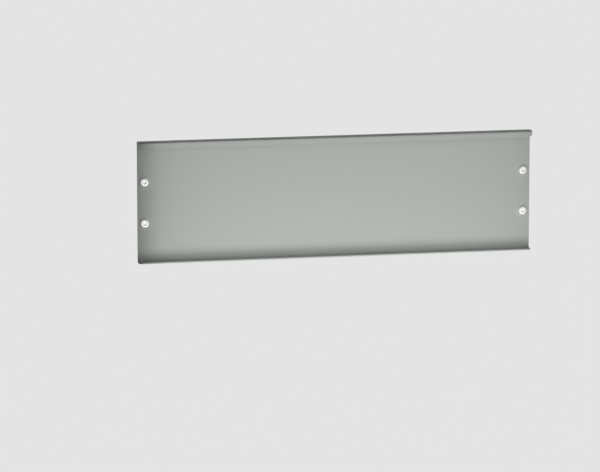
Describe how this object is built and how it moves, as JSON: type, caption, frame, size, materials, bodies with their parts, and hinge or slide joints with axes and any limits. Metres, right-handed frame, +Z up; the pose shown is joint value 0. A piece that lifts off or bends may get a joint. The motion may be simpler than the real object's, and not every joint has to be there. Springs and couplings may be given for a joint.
{
  "type": "blanking panel",
  "caption": "Folded sheet steel blanking panel for a 19-inch rack or cabinet opening, with a top fold and return lip, a bottom shelf and button head screws at its ends.",
  "frame": {"origin": "centre of the rectangle of four screws, on the panel's flat rear face", "axes": "+X along the panel's width, +Z up, +Y out of the rear face towards the rails; the front faces -Y"},
  "size_m": [0.4826, 0.024, 0.147],
  "materials": {
    "panel_paint": "fine textured powder coat, grey with a slight green tint, satin",
    "screw_zinc": "bright zinc plated steel"
  },
  "bodies": {
    "root": {"panel": "panel_paint", "mounting_screws": "screw_zinc"}
  },
  "joints": []
}
